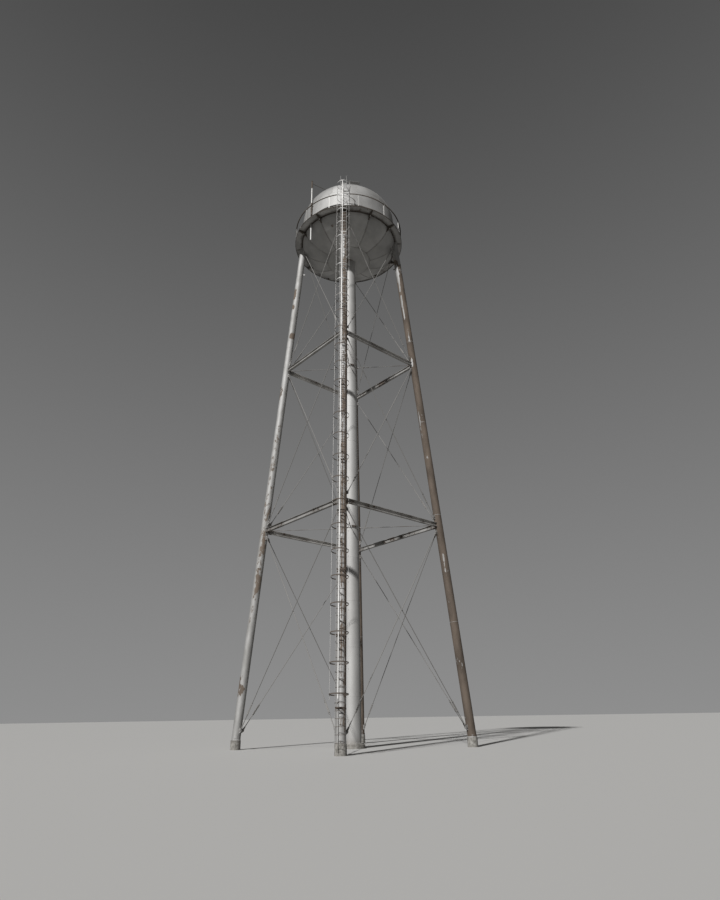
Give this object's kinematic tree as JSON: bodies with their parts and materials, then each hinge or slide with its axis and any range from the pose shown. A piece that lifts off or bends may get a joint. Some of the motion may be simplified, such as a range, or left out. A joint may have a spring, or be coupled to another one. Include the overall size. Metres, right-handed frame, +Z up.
{
  "type": "elevated water tower",
  "caption": "Steel water tank with domed roof and bowl-shaped bottom on leaning pipe legs, with central riser, crossed rods, balcony and caged ladder.",
  "frame": {"origin": "on the ground, on the riser's axis, at the centre of the four piers", "axes": "+Z up; +Y called north and +X east, each square to a side of the tower; the ladder climbs the leg at +X -Y"},
  "size_m": [9.772, 9.772, 37.57],
  "materials": {
    "tank_paint": "weathered satin aluminium paint with rust runs",
    "frame_paint": "peeling matt paint over rusted steel",
    "rod_steel": "worn paint on steel rod",
    "galvanised": "dull galvanised",
    "concrete": "rough weathered concrete"
  },
  "bodies": {
    "root": {"balcony_floor": "frame_paint", "balcony_handrail": "frame_paint", "balcony_mast": "galvanised", "leg_cage_1": "galvanised", "leg_cage_2": "galvanised", "leg_cage_3": "galvanised", "leg_cage_4": "galvanised", "leg_cage_5": "galvanised", "leg_cage_6": "galvanised", "leg_cage_7": "galvanised", "leg_cage_8": "galvanised", "leg_ladder_lower": "galvanised", "leg_ladder_upper": "galvanised", "leg_north_east": "frame_paint", "leg_north_west": "frame_paint", "leg_south_east": "frame_paint", "leg_south_west": "frame_paint", "lower_cross_rods_east": "rod_steel", "lower_cross_rods_north": "rod_steel", "lower_cross_rods_south": "rod_steel", "lower_cross_rods_west": "rod_steel", "lower_riser_ties": "rod_steel", "lower_strut_east": "frame_paint", "lower_strut_north": "frame_paint", "lower_strut_south": "frame_paint", "lower_strut_west": "frame_paint", "middle_cross_rods_east": "rod_steel", "middle_cross_rods_north": "rod_steel", "middle_cross_rods_south": "rod_steel", "middle_cross_rods_west": "rod_steel", "pier_north_east": "concrete", "pier_north_west": "concrete", "pier_riser": "concrete", "pier_south_east": "concrete", "pier_south_west": "concrete", "riser_pipe": "frame_paint", "roof_hatch": "tank_paint", "roof_vent": "tank_paint", "tank_bottom": "tank_paint", "tank_cage": "galvanised", "tank_ladder": "galvanised", "tank_roof": "tank_paint", "tank_shell": "tank_paint", "upper_cross_rods_east": "rod_steel", "upper_cross_rods_north": "rod_steel", "upper_cross_rods_south": "rod_steel", "upper_cross_rods_west": "rod_steel", "upper_riser_ties": "rod_steel", "upper_strut_east": "frame_paint", "upper_strut_north": "frame_paint", "upper_strut_south": "frame_paint", "upper_strut_west": "frame_paint"}
  },
  "joints": []
}
